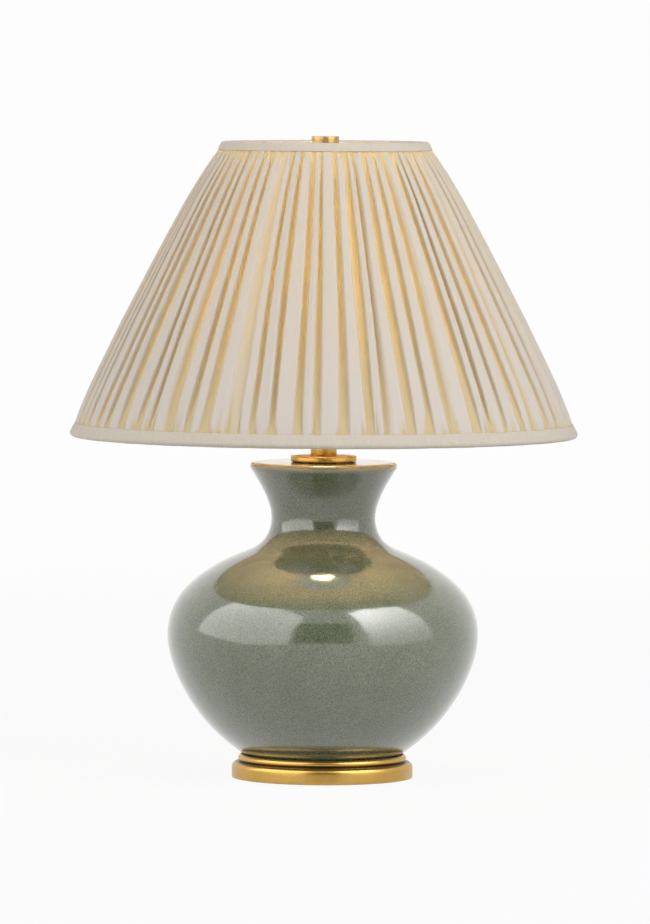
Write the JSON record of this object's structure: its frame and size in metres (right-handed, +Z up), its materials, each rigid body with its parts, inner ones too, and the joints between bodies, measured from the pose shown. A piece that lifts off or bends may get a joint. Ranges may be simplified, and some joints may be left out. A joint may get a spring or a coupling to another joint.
{
  "type": "table lamp",
  "caption": "Table lamp with a round glazed jar on a brass foot and a wide gathered cloth empire shade held by a harp and finial.",
  "frame": {"origin": "on the table at the centre of the base's underside", "axes": "+Z up; the front of the lamp and its switch knob face -Y; the harp stands in the XZ plane; the cord outlet faces +Y"},
  "size_m": [0.5096, 0.5096, 0.6452],
  "materials": {
    "felt": "brushed felt",
    "brass": "lacquered, softly polished",
    "rubber": "matt",
    "zinc": "zinc plated",
    "glaze": "speckled gloss glaze",
    "brassed_steel": "brass plated",
    "socket_brass": "bright",
    "liner_card": "fibre card",
    "phenolic": "moulded",
    "knob_plastic": "moulded gloss",
    "contact_brass": "bright",
    "silver_screw": "nickel plated",
    "bulb_glass": "frosted",
    "bulb_cap": "rolled",
    "bulb_insulator": "black",
    "filament": "clear post with a wound filament",
    "cloth": "gathered satin",
    "lining": "smooth",
    "trim": "folded bias tape",
    "finial_brass": "satin"
  },
  "bodies": {
    "base": {"felt_pad": "felt", "base_cup": "brass", "cord_bushing": "phenolic", "base_washer": "zinc", "base_lock_washer": "zinc", "base_nut": "zinc", "lamp_pipe": "zinc", "jar_foot_gasket": "rubber", "jar": "glaze", "cap_gasket": "rubber", "check_plate": "brass", "neck_tube": "brass", "neck_cap": "brass", "harp_saddle": "brassed_steel", "saddle_nut": "zinc", "socket_cap": "socket_brass", "socket_shell": "socket_brass", "socket_liner": "liner_card", "switch_body": "phenolic", "terminal_screw_brass": "contact_brass", "terminal_screw_silver": "silver_screw", "screw_shell": "contact_brass", "socket_contact": "contact_brass"},
    "switch_knob": {"switch_knob": "knob_plastic"},
    "bulb": {"bulb_tip": "contact_brass", "bulb_insulator": "bulb_insulator", "bulb_cap": "bulb_cap", "bulb_glass": "bulb_glass", "bulb_filament": "filament"},
    "harp": {"harp": "brassed_steel"},
    "sleeve_left": {"harp_sleeve_left": "brassed_steel"},
    "sleeve_right": {"harp_sleeve_right": "brassed_steel"},
    "harp_stud": {"harp_stud": "brassed_steel"},
    "shade": {"shade_spider": "brassed_steel", "shade_top_ring": "zinc", "shade_bottom_ring": "zinc", "shade_ribs": "zinc", "shade_lining": "lining", "shade_fabric": "cloth", "shade_top_trim": "trim", "shade_bottom_trim": "trim"},
    "finial": {"finial": "finial_brass"}
  },
  "joints": [
    {"name": "switch_turn", "type": "hinge", "parent": "base", "child": "switch_knob", "pos_m": [0, -0.019, 0.394], "axis": [0, -1, 0], "continuous": true},
    {"name": "bulb_unscrew", "type": "slide", "parent": "base", "child": "bulb", "axis": [0, 0, 1], "range_m": [0, 0.03]},
    {"name": "harp_lift", "type": "slide", "parent": "base", "child": "harp", "axis": [0, 0, 1], "range_m": [0, 0.03]},
    {"name": "sleeve_left_lift", "type": "slide", "parent": "harp", "child": "sleeve_left", "axis": [0, 0, 1], "range_m": [0, 0.018]},
    {"name": "sleeve_right_lift", "type": "slide", "parent": "harp", "child": "sleeve_right", "axis": [0, 0, 1], "range_m": [0, 0.018]},
    {"name": "shade_swivel", "type": "hinge", "parent": "harp", "child": "harp_stud", "pos_m": [0, 0, 0.6197], "axis": [0, 0, 1], "continuous": true},
    {"name": "shade_lift", "type": "slide", "parent": "harp_stud", "child": "shade", "axis": [0, 0, 1], "range_m": [0, 0.33]},
    {"name": "finial_unscrew", "type": "slide", "parent": "shade", "child": "finial", "axis": [0, 0, 1], "range_m": [0, 0.014]}
  ]
}
